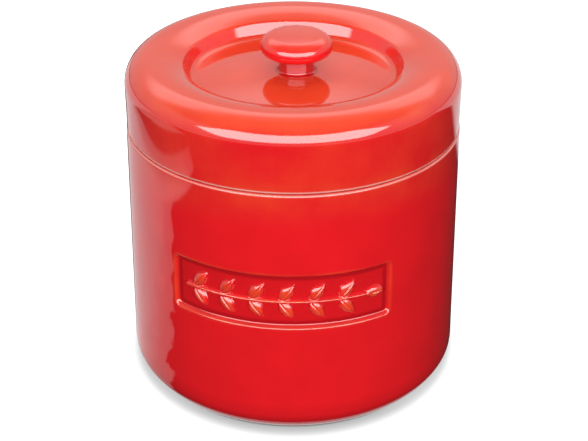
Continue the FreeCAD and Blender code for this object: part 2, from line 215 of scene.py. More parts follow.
# The world: places are parts of a direction of length one, z upwards and y away from the camera.
DOME_GLOW = 0.66
BACK_GLOW = 1.0
STRIP_GLOW = 6.0
FILL_LIGHT = 0.22
STRIP_MIDDLE = 0.33
STRIP_HALF = (0.36, 0.74, 0.0, 0.23)
STRIP_ENDS = (0.36, 0.46)
STRIP_EDGE = (0.06, -0.01)
WINDOW_FOOT = (0.42, 0.60)
WINDOW_TOP = (0.90, 0.76)
WINDOW_SIDES = (0.35, 0.7)
SHADE_RISE = (0.45, 0.65)
SHADE_FRONT = (0.55, -0.05, 0.0, 0.72)


def wall_radius(height):
    """The outer wall's radius: it falls in a straight line from the base up to the shoulder."""
    return BASE_RADIUS - TAPER * (height - FOOT_HEIGHT) / (SHOULDER_HEIGHT - FOOT_HEIGHT)


def clean_mesh(name, points, faces):
    """A smooth mesh object at the origin from an array of points and an array of corner indices."""
    mesh = bpy.data.meshes.new(name)
    mesh.vertices.add(len(points))
    mesh.vertices.foreach_set("co", np.asarray(points, dtype=np.float32).ravel())
    size = faces.shape[1]
    mesh.loops.add(faces.size)
    mesh.loops.foreach_set("vertex_index", faces.ravel().astype(np.int32))
    mesh.polygons.add(len(faces))
    mesh.polygons.foreach_set("loop_start", np.arange(0, faces.size, size, dtype=np.int32))
    mesh.update(calc_edges=True)
    mesh.validate()
    mesh.polygons.foreach_set("use_smooth", np.full(len(mesh.polygons), True))
    piece = bpy.data.objects.new(name, mesh)
    bpy.context.scene.collection.objects.link(piece)
    return piece


def grid_faces(rows, columns, wrap_columns=True, first=0):
    """Quads between neighbouring rows and columns of a grid of points numbered row by row."""
    row = np.arange(rows - 1)
    column = np.arange(columns if wrap_columns else columns - 1)
    r, c = np.meshgrid(row, column, indexing="ij")
    next_r = r + 1
    next_c = (c + 1) % columns
    corners = [r * columns + c, r * columns + next_c, next_r * columns + next_c, next_r * columns + c]
    return np.stack([corner.ravel() for corner in corners], axis=1) + first


def cap_faces(ring, pole, outward):
    """Triangles from a ring of point numbers to one pole, turned to face outward or the other way."""
    following = np.roll(ring, -1)
    centre = np.full(len(ring), pole)
    order = [ring, following, centre] if outward else [following, ring, centre]
    return np.stack(order, axis=1)


def split(quads):
    """Each quad as two triangles."""
    return np.concatenate([quads[:, [0, 1, 2]], quads[:, [0, 2, 3]]])


def paint(piece, **layers):
    """Stores each layer at each point, from nought to one: how pale the glaze runs, with painted light
    from above, how dark it pools, with painted shade, and how bare it is.
    """
    for name, values in layers.items():
        layer = piece.data.attributes.new(name, "FLOAT", "POINT")
        layer.data.foreach_set("value", np.clip(values, 0, 1).astype(np.float32).ravel())


def facing_up(profile):
    """The upward part of the outward normal at each point of a turned profile."""
    before = np.diff(profile, axis=0, prepend=profile[:1] - [[1e-6, 0]])
    after = np.diff(profile, axis=0, append=profile[-1:] - [[1e-6, 0]])
    along = before / np.linalg.norm(before, axis=1)[:, None]
    along = along + after / np.linalg.norm(after, axis=1)[:, None]
    return -along[:, 0] / np.maximum(np.linalg.norm(along, axis=1), 1e-9)


def ring_layer(values, columns):
    """One value for each ring of a turned surface, repeated round it, then those of its two poles."""
    return np.concatenate([np.repeat(values[1:-1], columns), values[:1], values[-1:]])


def paint_rings(piece, columns, thin, deep, bare):
    """Paints the three layers on a turned piece from one value of each for every ring."""
    paint(piece, thin=ring_layer(thin, columns), deep=ring_layer(deep, columns),
          bare=ring_layer(bare, columns))


def bell(value, middle, spread):
    """One at the middle, falling off to both sides as exp(-((value - middle) / spread) ^ 2)."""
    return np.exp(-((value - middle) / spread) ** 2)


def even_azimuths(columns):
    """Azimuths at equal steps all the way round."""
    return np.linspace(0, 2 * math.pi, columns, endpoint=False)


def turned(name, profile, angles, press=None, centre=(0.0, 0.0)):
    """A closed surface of revolution.

    Point (i, j) lies at the profile's radius r_i and height z_i, at azimuth a_j from the front:
    x = r sin a, y = -r cos a, both from the centre. press(a, r, z) is taken off r. The profile runs
    anticlockwise in the (radius, height) plane, from the axis below to the axis above, and each end
    is one pole.
    """
    rings = profile[1:-1]
    azimuth, radius = np.meshgrid(angles, rings[:, 0])
    height = np.repeat(rings[:, 1:], len(angles), axis=1)
    if press is not None:
        radius = radius - press(azimuth, radius, height)
    x = centre[0] + radius * np.sin(azimuth)
    y = centre[1] - radius * np.cos(azimuth)
    points = np.stack([x, y, height], axis=2)
    poles = [[centre[0], centre[1], profile[0, 1]], [centre[0], centre[1], profile[-1, 1]]]
    points = np.concatenate([points.reshape(-1, 3), np.array(poles)])
    rows, columns = len(rings), len(angles)
    first_ring = np.arange(columns)
    last_ring = first_ring + (rows - 1) * columns
    faces = np.concatenate([
        split(grid_faces(rows, columns)),
        cap_faces(first_ring, rows * columns, outward=False),
        cap_faces(last_ring, rows * columns + 1, outward=True),
    ])
    return clean_mesh(name, points, faces)


def arc(centre, radius, start, end, steps=10):
    """Points on a circle in the (radius, height) plane, between two angles in degrees."""
    angle = np.radians(np.linspace(start, end, steps + 1))
    return np.stack([centre[0] + radius * np.cos(angle), centre[1] + radius * np.sin(angle)], axis=1)


def rounded(corners, steps=8):
    """A polyline through (radius, height, rounding) corners, with an arc in each rounded corner.

    The arc touches both sides at rounding * tan(turn / 2) from the corner.
    """
    corners = np.array(corners, dtype=float)
    stretches = [corners[:1, :2]]
    for before, corner, after in zip(corners, corners[1:], corners[2:]):
        point, size = corner[:2], corner[2]
        if size == 0:
            stretches.append(point[None])
            continue
        into = (point - before[:2]) / np.linalg.norm(point - before[:2])
        out = (after[:2] - point) / np.linalg.norm(after[:2] - point)
        turn = math.atan2(into[0] * out[1] - into[1] * out[0], into @ out)
        left = np.array([-into[1], into[0]]) * math.copysign(size, turn)
        start = point - into * size * math.tan(abs(turn) / 2)
        middle = start + left
        swing = np.linspace(0, turn, steps + 1)
        cosine, sine = np.cos(swing)[:, None], np.sin(swing)[:, None]
        spoke = start - middle
        stretches.append(middle + cosine * spoke + sine * np.array([-spoke[1], spoke[0]]))
    stretches.append(corners[-1:, :2])
    return np.concatenate(stretches)


def divided(points, longest):
    """The polyline with every side longer than longest cut into equal shorter ones."""
    stretches = []
    for start, end in zip(points, points[1:]):
        parts = max(1, math.ceil(np.linalg.norm(end - start) / longest))
        share = np.arange(parts)[:, None] / parts
        stretches.append(start + share * (end - start))
    stretches.append(points[-1:])
    return np.concatenate(stretches)


def smooth(share):
    """Zero below 0, one above 1, and 3 t^2 - 2 t^3 between."""
    t = np.clip(share, 0, 1)
    return t * t * (3 - 2 * t)


def panel_distance(azimuth, height):
    """The signed distance from the panel's rounded outline, on the unrolled wall; inside is negative."""
    along = (azimuth - PANEL_CENTRE) * BASE_RADIUS
    up = height - (PANEL_BOTTOM + PANEL_HEIGHT / 2)
    over = np.abs(along) - (PANEL_SWEEP * BASE_RADIUS / 2 - PANEL_CORNER)
    above = np.abs(up) - (PANEL_HEIGHT / 2 - PANEL_CORNER)
    beyond = np.hypot(np.maximum(over, 0), np.maximum(above, 0))
    within = np.minimum(np.maximum(over, above), 0)
    return beyond + within - PANEL_CORNER


def press_panel(azimuth, radius, height):
    """How far in the panel is pressed: its depth, eased out over a slope at its outline."""
    outer_wall = radius > wall_radius(height) - WALL / 2
    inward = -panel_distance(azimuth, height)
    return PANEL_DEPTH * smooth(inward / PANEL_SLOPE + PANEL_EASE) * outer_wall


def panel_layers(azimuth, height):
    """Where the glaze has pooled, along the foot of the panel's edge, and where it runs pale, on its lip.
    """
    distance = panel_distance(azimuth, height)
    pooled = bell(distance, -POOL_PLACE, POOL_SPREAD) + 0.35 * smooth(-distance / (1.2 * MM))
    return pooled, bell(distance, LIP_PLACE, LIP_SPREAD)


def panel_azimuths():
    """Azimuths round the jar, fine across the panel and coarse elsewhere."""
    half = PANEL_SWEEP / 2 + 2 * PANEL_SLOPE / BASE_RADIUS
    fine = np.linspace(PANEL_CENTRE - half, PANEL_CENTRE + half, PANEL_COLUMNS)
    coarse = np.linspace(PANEL_CENTRE + half, PANEL_CENTRE - half + 2 * math.pi, PLAIN_COLUMNS)
    return np.concatenate([fine, coarse[1:-1]])


def make_jar():
    """The jar: foot ring, flared wall with the pressed panel, shoulder, neck and inside.

    Its glaze grows sparse towards the shoulder and on the neck's top, and leaves the clay bare under the
    foot and along the shoulder's edge. Its wall is painted darker towards the base as painted shade.
    """
    foot_outer = BASE_RADIUS - CORNER_RADIUS - FOOT_INSET
    margin = 1.5 * MM
    panel_low = PANEL_BOTTOM - margin
    panel_high = PANEL_BOTTOM + PANEL_HEIGHT + margin
    below = rounded([
        (0, FOOT_HEIGHT, 0),
        (foot_outer - FOOT_WIDTH, FOOT_HEIGHT, FOOT_EDGE),
        (foot_outer - FOOT_WIDTH, 0, FOOT_EDGE),
        (foot_outer, 0, FOOT_EDGE),
        (foot_outer, FOOT_HEIGHT, 0.1 * MM),
        (BASE_RADIUS, FOOT_HEIGHT, CORNER_RADIUS),
        (wall_radius(panel_low), panel_low, 0),
    ])
    heights = np.linspace(panel_low, panel_high, 72)
    across = np.stack([wall_radius(heights), heights], axis=1)
    inner_top = SHOULDER_HEIGHT - WALL
    turn_in = inner_top - (wall_radius(inner_top) - WALL - MOUTH_RADIUS)
    near_shoulder = np.linspace(SHOULDER_HEIGHT - 2 * MM, SHOULDER_HEIGHT - MM, 6)
    above = rounded([
        (wall_radius(panel_high), panel_high, 0),
        *[(wall_radius(level), level, 0) for level in near_shoulder],
        (SHOULDER_RADIUS, SHOULDER_HEIGHT, SHOULDER_EDGE),
        (NECK_RADIUS, SHOULDER_HEIGHT, 0.6 * MM),
        (NECK_RADIUS, NECK_TOP, NECK_EDGE),
        (MOUTH_RADIUS, NECK_TOP, NECK_EDGE),
        (MOUTH_RADIUS, inner_top, NECK_BLEND),
        (wall_radius(turn_in) - WALL, turn_in, NECK_BLEND),
        (wall_radius(FLOOR_TOP) - WALL, FLOOR_TOP, INNER_CORNER),
        (0, FLOOR_TOP, 0),
    ])
    profile = np.concatenate([
        divided(below, longest=5 * MM)[:-1],
        across[:-1],
        divided(above, longest=2.5 * MM),
    ])
    angles = panel_azimuths()
    piece = turned("jar_glazed", profile, angles, press=press_panel)
    radius, height = profile.T
    outside = radius > NECK_RADIUS + 1.0 * MM
    toward_shoulder = smooth((height - SHOULDER_HEIGHT + SHOULDER_FADE) / SHOULDER_FADE)
    thin = outside * SHOULDER_THIN * toward_shoulder ** 1.5
    thin = np.maximum(thin, 0.9 * bell(height, NECK_TOP, 1.4 * MM))
    bare = outside * 0.6 * bell(height, SHOULDER_HEIGHT - 0.3 * MM, 0.25 * MM)
    bare = np.maximum(bare, smooth((FOOT_HEIGHT - height) / (0.2 * MM)) * (height < FOOT_HEIGHT))
    azimuth, level = np.meshgrid(angles, height[1:-1])
    deep, lip = panel_layers(azimuth, level)
    lip = lip * outside[1:-1, None]
    # Painted shade: the wall darkens towards the base, carried in the same layer as the panel's pooled
    # glaze.
    base = smooth((BASE_POOL_TOP - level) / BASE_POOL_FADE)
    deep = np.maximum(deep, base) * outside[1:-1, None]
    thin = ring_layer(thin, len(angles))
    thin[:-2] = np.maximum(thin[:-2], LIP_THIN * lip.ravel())
    paint(piece, thin=thin, deep=np.append(deep.ravel(), [0, 0]), bare=ring_layer(bare, len(angles)))
    return piece


def leaf_height(along, across, length, width):
    """A leaf's height, from nought to one: a pointed oval, domed across and creased at its midrib.

    At share t of its length the half width is width / 2 * sin(pi t^0.85)^0.8. Across it the height is
    (1 - (across / half width)^2)^0.55, and towards both ends it falls as sin(pi t)^0.35.
    """
    t = np.clip(along / length + 0.5, 0.0, 1.0)
    half = width / 2 * np.sin(math.pi * t ** 0.85) ** 0.8 + 1e-9
    dome = np.clip(1 - (across / half) ** 2, 0, 1) ** 0.55
    crease = 1 - 0.35 * bell(across, 0.0, 0.16 * MM)
    return dome * crease * np.sin(math.pi * np.clip(t, 0.02, 0.98)) ** 0.35


def make_relief():
    """The raised branch, as a height over the panel's floor, on a patch whose rest is buried in it.

    The height is the greatest of the stem's round section and each leaf's dome, on the unrolled floor.
    """
    panel_middle = PANEL_BOTTOM + PANEL_HEIGHT / 2
    floor = wall_radius(panel_middle) - PANEL_DEPTH
    azimuths = PANEL_CENTRE + np.linspace(-0.5, 0.5, PATCH_COLUMNS) * (BRANCH_SWEEP + PATCH_MARGIN)
    rises = np.linspace(-PATCH_HALF_HEIGHT, PATCH_HALF_HEIGHT, PATCH_ROWS)
    along, up = np.meshgrid((azimuths - PANEL_CENTRE) * floor, rises)
    reach = BRANCH_SWEEP * floor / 2
    stem_half = STEM_WIDTH / 2 * (1.0 - 0.35 * np.clip((along + reach) / (2 * reach), 0, 1))
    beyond = np.maximum(np.abs(along) - reach, 0)
    height = np.sqrt(np.clip(1 - (np.hypot(up, beyond) / stem_half) ** 2, 0, 1)) * 0.85
    pitch = 2 * reach / (LEAF_PAIRS + 0.5)
    for pair in range(LEAF_PAIRS):
        for side in (1, -1):
            tilt = side * LEAF_TILT
            x = along + reach - pitch * (pair + 0.5)
            z = up - side * LEAF_REACH
            u = x * math.cos(tilt) + z * math.sin(tilt)
            v = -x * math.sin(tilt) + z * math.cos(tilt)
            height = np.maximum(height, leaf_height(u, v, LEAF_LENGTH, LEAF_WIDTH))
    height = np.maximum(height, leaf_height(along - reach, up, LEAF_LENGTH, LEAF_WIDTH))
    level = up + panel_middle
    wall = wall_radius(level) - PANEL_DEPTH
    front = wall - BURIED + height * (RELIEF_RISE + BURIED)
    back = wall - 4 * BURIED
    turn = along / floor + PANEL_CENTRE
    sheets = []
    for radius in (front, back):
        sheets.append(np.stack([radius * np.sin(turn), -radius * np.cos(turn), level], axis=2))
    rows, columns = along.shape
    count = rows * columns
    number = np.arange(count).reshape(rows, columns)
    border = np.concatenate([number[0, :-1], number[:-1, -1], number[-1, :0:-1], number[:0:-1, 0]])
    after = np.roll(border, -1)
    sides = np.stack([border, border + count, after + count, after], axis=1)
    front_faces = grid_faces(rows, columns, wrap_columns=False)
    back_faces = front_faces[:, ::-1] + count
    points = np.concatenate([sheet.reshape(-1, 3) for sheet in sheets])
    faces = split(np.concatenate([front_faces, back_faces, sides]))
    piece = clean_mesh("panel_branch", points, faces)
    top = height.ravel()
    # The crests turn paler: glaze running out pale over the raised leaves, and in part a painted
    # highlight.
    thin = 0.95 * smooth((top - 0.45) / 0.5)
    deep = smooth(1 - top / 0.5)
    paint(piece, thin=np.tile(thin, 2), deep=np.tile(deep, 2), bare=np.zeros(2 * count))
    return piece


def lid_top(inward=0.0):
    """The lid's upper line from the corner in to the well, or the same line a wall's thickness inward.

    From a narrow flat crest a broad roll falls away, a short one turns it down into the well's
    straight steep wall, and a fillet runs out on the well's floor. At share s of the fillet's radius
    the floor rises by the dome's height times (1 - s^2) (1 - s^2 (1 - s^2) / 4).
    """
    gentle, steep = math.radians(WELL_GENTLE), math.radians(WELL_STEEP)
    crest_radius = SKIRT_RADIUS - LID_CORNER
    roll = np.array([crest_radius - CREST_FLAT, CREST - WELL_ROLL])
    turn = roll + (WELL_ROLL - WELL_TURN) * np.array([-math.sin(gentle), math.cos(gentle)])
    top = turn + WELL_TURN * np.array([-math.sin(steep), math.cos(steep)])
    drop = top[1] - (WELL_FLOOR - WELL_DOME) - WELL_FILLET * (1 - math.cos(steep))
    foot = top - drop / math.tan(steep) * np.array([1, 0]) - [0, drop]
    fillet = foot + WELL_FILLET * np.array([-math.sin(steep), math.cos(steep)])
    share = np.linspace(1, 0, 16)[1:]
    rise = WELL_DOME * (1 - share ** 2) * (1 - 0.25 * share ** 2 * (1 - share ** 2))
    return np.concatenate([
        arc((crest_radius, CREST - LID_CORNER), LID_CORNER - inward, 0, 90, steps=22),
        arc(roll, WELL_ROLL - inward, 90, 90 + WELL_GENTLE, steps=12),
        arc(turn, max(WELL_TURN - inward, 0.1 * MM), 90 + WELL_GENTLE, 90 + WELL_STEEP)[1:],
        arc(fillet, WELL_FILLET + inward, 270 + WELL_STEEP, 270, steps=12),
        np.stack([share * fillet[0], WELL_FLOOR - WELL_DOME - inward + rise], axis=1),
    ])


def make_lid():
    """The cap lid: skirt, round corner, rolled rim and shallow well, and the same wall inside.

    Close rings over the skirt's foot carry the narrow line where the clay shows.
    """
    foot_level = SKIRT_FOOT + LID_EDGE
    foot_rings = [[SKIRT_RADIUS, foot_level + step * 0.15 * MM] for step in range(1, 8)]
    profile = np.concatenate([
        lid_top(LID_WALL)[::-1],
        arc((SKIRT_RADIUS - LID_WALL + LID_EDGE, foot_level), LID_EDGE, 180, 270),
        arc((SKIRT_RADIUS - LID_EDGE, foot_level), LID_EDGE, 270, 360),
        foot_rings,
        lid_top(),
    ])
    profile = divided(profile, longest=3 * MM)
    piece = turned("lid_glazed", profile, even_azimuths(LID_COLUMNS))
    height = profile[:, 1]
    fade = 5 * MM
    on_skirt = 0.22 + 0.22 * smooth((SKIRT_FOOT + fade - height) / fade)
    # Painted light: faces turned up get the paler orange, for the warmer light from above; the skirt's
    # share is the glaze's own colour.
    thin = np.maximum(0.95 * smooth((facing_up(profile) - 0.1) / 0.75), on_skirt)
    bare = 0.95 * bell(height, SKIRT_FOOT + 0.40 * MM, 0.26 * MM)
    paint_rings(piece, LID_COLUMNS, thin, 0 * thin, bare)
    return piece


def make_knob():
    """The knob: a domed button over a short stem that flares on to the well's floor.

    The button's rim is a small arc, met above and below by a wide one with its centre on the axis.
    """
    def bulge(half, edge):
        """The radius of the wide arc that meets the rim's small one, and the lean where they meet."""
        reach = KNOB_RADIUS - edge
        wide = (reach ** 2 + half ** 2 - edge ** 2) / (2 * (half - edge))
        return reach, wide, math.degrees(math.atan2(reach, wide - half))

    crown_reach, crown, crown_lean = bulge(KNOB_CROWN, KNOB_EDGE)
    belly_reach, belly, belly_lean = bulge(KNOB_BELLY, KNOB_UNDER_EDGE)
    middle = WELL_FLOOR + KNOB_RISE
    sunk = 0.3 * MM
    inner = STEM_RADIUS + STEM_BLEND
    lowest = middle - KNOB_BELLY + belly
    under = lowest - math.sqrt(belly ** 2 - inner ** 2)
    start = math.degrees(math.asin(inner / belly))
    profile = np.concatenate([
        [[0, WELL_FLOOR - sunk]],
        [[STEM_RADIUS + STEM_FLARE, WELL_FLOOR - sunk]],
        arc((STEM_RADIUS + STEM_FLARE, WELL_FLOOR + STEM_FLARE), STEM_FLARE, 270, 180),
        arc((inner, under - STEM_BLEND), STEM_BLEND, 180, 90 + start),
        arc((0, lowest), belly, 270 + start, 270 + belly_lean, steps=4)[1:],
        arc((belly_reach, middle), KNOB_UNDER_EDGE, belly_lean - 90, 0, steps=12)[1:],
        arc((crown_reach, middle), KNOB_EDGE, 0, 90 - crown_lean, steps=14)[1:],
        arc((0, middle + KNOB_CROWN - crown), crown, 90 - crown_lean, 90, steps=12)[1:],
    ])
    profile = divided(profile, longest=3 * MM)
    piece = turned("knob_glazed", profile, even_azimuths(KNOB_COLUMNS), centre=(KNOB_OFFSET, 0.0))
    # Painted light: the knob's faces turned up get the paler orange, for the warmer light from above.
    thin = 0.7 * smooth((facing_up(profile) - 0.1) / 0.75)
    # Painted shade: the stem under the button is painted dark red, where the button shades it.
    deep = 0.85 * smooth((middle - KNOB_BELLY - profile[:, 1]) / (0.8 * MM))
    paint_rings(piece, KNOB_COLUMNS, thin, deep, 0 * thin)
    return piece


def make_weave():
    """The woven wire disc: each wire rises over and dips under the wires that cross it.

    A wire's height is half the mesh's thickness times the cosine of its way along, one half wave
    for each crossing, and neighbouring wires are half a wave apart. Its section is a small ring.
    """
    low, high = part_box("strainer_mesh")
    reach = (high[0] - low[0]) / 2 - WIRE_RADIUS
    level = (low[2] + high[2]) / 2
    wave = (high[2] - low[2]) / 2 - WIRE_RADIUS
    count = int(reach / WIRE_PITCH)
    ring = even_azimuths(WIRE_SIDES)
    points, faces, first = [], [], 0
    for way in (0, 1):
        for index in range(-count, count + 1):
            offset = index * WIRE_PITCH
            half = math.sqrt(reach ** 2 - offset ** 2)
            if half < WIRE_PITCH:
                continue
            steps = max(4, round(2 * half / WIRE_PITCH * WIRE_STEPS))
            along = np.linspace(-half, half, steps)
            rise = wave * np.cos(math.pi * (along / WIRE_PITCH + index + way))
            side = offset + WIRE_RADIUS * np.cos(ring)[None, :] + 0 * along[:, None]
            up = level + rise[:, None] + WIRE_RADIUS * np.sin(ring)[None, :]
            length = along[:, None] + 0 * ring[None, :]
            order = [length, side, up] if way == 0 else [side, length, up]
            points.append(np.stack(order, axis=2).reshape(-1, 3))
            quads = grid_faces(steps, WIRE_SIDES, first=first)
            last = first + (steps - 1) * WIRE_SIDES
            rim = np.arange(1, WIRE_SIDES)
            wire = np.concatenate([
                split(quads),
                cap_faces(first + rim, first, outward=False)[:-1],
                cap_faces(last + rim, last, outward=True)[:-1],
            ])
            faces.append(wire if way == 0 else wire[:, ::-1])
            first += steps * WIRE_SIDES
    return clean_mesh("woven_wires", np.concatenate(points), np.concatenate(faces))


def new_material(name):
    """A new material with its node tree and the Principled shader in it."""
    material = bpy.data.materials.new(name)
    material.use_nodes = True
    tree = material.node_tree
    shader = next(node for node in tree.nodes if node.type == "BSDF_PRINCIPLED")
    return material, tree, shader


def add_node(tree, kind, **values):
    """A node of a kind, with the values of its named inputs."""
    node = tree.nodes.new(kind)
    for label, amount in values.items():
        node.inputs[label.replace("_", " ")].default_value = amount
    return node


def math_node(tree, operation, first, second=0.0, clamp=False):
    """A Math node on two inputs, each a socket or a number; gives its output socket."""
    node = tree.nodes.new("ShaderNodeMath")
    node.operation = operation
    node.use_clamp = clamp
    for socket, feed in zip(node.inputs, (first, second)):
        if isinstance(feed, (int, float)):
            socket.default_value = feed
        else:
            tree.links.new(feed, socket)
    return node.outputs[0]


def product(tree, *feeds):
    """All the feeds multiplied, each a socket or a number."""
    result = feeds[0]
    for feed in feeds[1:]:
        result = math_node(tree, "MULTIPLY", result, feed)
    return result


def level_length(tree, x, y):
    """The length of the level part of a place or a direction: the root of x^2 + y^2."""
    squares = math_node(tree, "ADD", product(tree, x, x), product(tree, y, y))
    return math_node(tree, "SQRT", squares)


def colour_mix(tree, share, first, second):
    """A mix from the first colour to the second, each a socket or a colour; gives its output socket."""
    mix = tree.nodes.new("ShaderNodeMix")
    mix.data_type = "RGBA"
    sockets = {socket.identifier: socket for socket in mix.inputs}
    tree.links.new(share, sockets["Factor_Float"])
    for label, feed in (("A_Color", first), ("B_Color", second)):
        if isinstance(feed, tuple):
            sockets[label].default_value = feed
        else:
            tree.links.new(feed, sockets[label])
    return next(socket for socket in mix.outputs if socket.identifier == "Result_Color")


def smooth_ramp(tree, feed, low, high, to_low=0.0, to_high=1.0):
    """A smooth step between two values as a socket goes from low to high, or from high to low."""
    step = tree.nodes.new("ShaderNodeMapRange")
    step.interpolation_type = "SMOOTHSTEP"
    tree.links.new(feed, step.inputs["Value"])
    ends = {"From Min": low, "From Max": high, "To Min": to_low, "To Max": to_high}
    for label, amount in ends.items():
        step.inputs[label].default_value = amount
    return step.outputs["Result"]


def new_group(name, inputs, outputs):
    """A shader node group with named sockets: {name: (socket type, default)} in, {name: type} out."""
    group = bpy.data.node_groups.new(name, "ShaderNodeTree")
    for label, (kind, default) in inputs.items():
        socket = group.interface.new_socket(label, in_out="INPUT", socket_type=kind)
        socket.default_value = default
    for label, kind in outputs.items():
        group.interface.new_socket(label, in_out="OUTPUT", socket_type=kind)
    return group, group.nodes.new("NodeGroupInput"), group.nodes.new("NodeGroupOutput")


def glaze_group():
    """Red glaze over pale clay, from the three painted layers.

    The colour goes from full red to the paler orange with the first layer, which is glaze run pale on
    edges and crests and also painted light on faces turned up, to dark red with the second, which is
    pooled glaze and also painted shade at the base and under the knob, and to clay where it is bare; slow
    noise sways all of them. The ripple is slow noise and fine noise.
    """
    group, given, result = new_group("fired_glaze", {
        "Thin": ("NodeSocketFloat", 0.0),
        "Deep": ("NodeSocketFloat", 0.0),
        "Bare": ("NodeSocketFloat", 0.0),
        "Ripple": ("NodeSocketFloat", WALL_RIPPLE),
    }, {"Colour": "NodeSocketColor", "Roughness": "NodeSocketFloat", "Normal": "NodeSocketVector"})
    place = add_node(group, "ShaderNodeTexCoord").outputs["Object"]
    slow = add_node(group, "ShaderNodeTexNoise", Scale=75.0, Detail=3.0, Roughness=0.5)
    grit = add_node(group, "ShaderNodeTexNoise", Scale=1100.0, Detail=2.0)
    wide = add_node(group, "ShaderNodeTexNoise", Scale=62.0, Detail=0.0)
    pits = add_node(group, "ShaderNodeTexNoise", Scale=520.0, Detail=0.0)
    for noise in (slow, grit, wide, pits):
        group.links.new(place, noise.inputs["Vector"])
    sway = math_node(group, "SUBTRACT", slow.outputs[0], 0.5)
    speck = math_node(group, "SUBTRACT", grit.outputs[0], 0.5)

    def swayed(label, share):
        """A painted layer, pushed up and down by the noises where it is neither nought nor one."""
        layer = given.outputs[label]
        room = product(group, layer, math_node(group, "SUBTRACT", 1.0, layer))
        noise = math_node(group, "ADD", product(group, sway, share), speck)
        return math_node(group, "ADD", layer, product(group, room, noise), clamp=True)

    colour = colour_mix(group, swayed("Thin", 5.5), RED_GLAZE, THIN_GLAZE)
    colour = colour_mix(group, swayed("Deep", 1.5), colour, DEEP_GLAZE)
    colour = colour_mix(group, swayed("Bare", 1.0), colour, BARE_CLAY)
    pooled = group.nodes.new("ShaderNodeHueSaturation")
    value = math_node(group, "ADD", 1.0, product(group, sway, 0.22))
    group.links.new(value, pooled.inputs["Value"])
    group.links.new(colour, pooled.inputs["Color"])
    group.links.new(pooled.outputs[0], result.inputs["Colour"])
    gloss = math_node(group, "ADD", 0.04, product(group, grit.outputs[0], 0.03))
    worn = product(group, given.outputs["Bare"], 0.45)
    group.links.new(math_node(group, "ADD", gloss, worn), result.inputs["Roughness"])
    swell = product(group, wide.outputs[0], given.outputs["Ripple"])
    small = product(group, pits.outputs[0], PIT_DEPTH)
    bump = add_node(group, "ShaderNodeBump", Strength=1.0, Distance=1.0)
    group.links.new(math_node(group, "ADD", swell, small), bump.inputs["Height"])
    group.links.new(bump.outputs[0], result.inputs["Normal"])
    return group


def make_glaze(name, group, ripple=WALL_RIPPLE):
    """The red glaze on one piece, fed by the layers painted on its mesh."""
    material, tree, shader = new_material(name)
    shader.inputs["IOR"].default_value = GLAZE_INDEX
    fired = tree.nodes.new("ShaderNodeGroup")
    fired.node_tree = group
    fired.inputs["Ripple"].default_value = ripple
    for label in ("Thin", "Deep", "Bare"):
        layer = tree.nodes.new("ShaderNodeAttribute")
        layer.attribute_name = label.lower()
        tree.links.new(layer.outputs["Fac"], fired.inputs[label])
    tree.links.new(fired.outputs["Colour"], shader.inputs["Base Color"])
    tree.links.new(fired.outputs["Roughness"], shader.inputs["Roughness"])
    tree.links.new(fired.outputs["Normal"], shader.inputs["Normal"])
    return material


def make_steel(name, colour, roughness, ring_lines=True):
    """Stainless steel with fine turning lines round the axis, or with a drawn wire's even grain."""
    material, tree, shader = new_material(name)
    shader.inputs["Metallic"].default_value = 1.0
    place = tree.nodes.new("ShaderNodeTexCoord")
    parts = tree.nodes.new("ShaderNodeSeparateXYZ")
    tree.links.new(place.outputs["Object"], parts.inputs[0])
    if ring_lines:
        across, along, density = level_length(tree, parts.outputs["X"], parts.outputs["Y"]), "Z", 9000.0
    else:
        across, along, density = parts.outputs["X"], "Y", 3000.0
    lines = tree.nodes.new("ShaderNodeCombineXYZ")
    tree.links.new(product(tree, across, density), lines.inputs["X"])
    tree.links.new(product(tree, parts.outputs[along], density), lines.inputs["Y"])
    grain = add_node(tree, "ShaderNodeTexNoise", Scale=1.0, Detail=2.0)
    smears = add_node(tree, "ShaderNodeTexNoise", Scale=70.0, Detail=3.0)
    tree.links.new(lines.outputs[0], grain.inputs["Vector"])
    tree.links.new(place.outputs["Object"], smears.inputs["Vector"])
    from_grain = product(tree, grain.outputs[0], 0.16)
    from_smears = product(tree, smears.outputs[0], 0.10)
    spread = math_node(tree, "ADD", from_grain, from_smears)
    tree.links.new(math_node(tree, "ADD", spread, roughness - 0.13), shader.inputs["Roughness"])
    darker = tuple(part * 0.82 for part in colour[:3]) + (1.0,)
    tree.links.new(colour_mix(tree, grain.outputs[0], colour, darker), shader.inputs["Base Color"])
    bump = add_node(tree, "ShaderNodeBump", Strength=0.35, Distance=0.00001)
    tree.links.new(grain.outputs[0], bump.inputs["Height"])
    tree.links.new(bump.outputs[0], shader.inputs["Normal"])
    return material


def dress(piece, material):
    """Gives every slot of an object one material."""
    piece.data.materials.clear()
    piece.data.materials.append(material)


def make_sheet(name, radii, level):
    """A level sheet of rings round the axis, from the first radius to the last, that faces up."""
    azimuth, radius = np.meshgrid(even_azimuths(SHEET_SIDES), np.array(radii))
    points = np.stack([radius * np.sin(azimuth), -radius * np.cos(azimuth), 0 * radius + level], axis=2)
    faces = split(grid_faces(len(radii), SHEET_SIDES))[:, ::-1]
    return clean_mesh(name, points.reshape(-1, 3), faces)


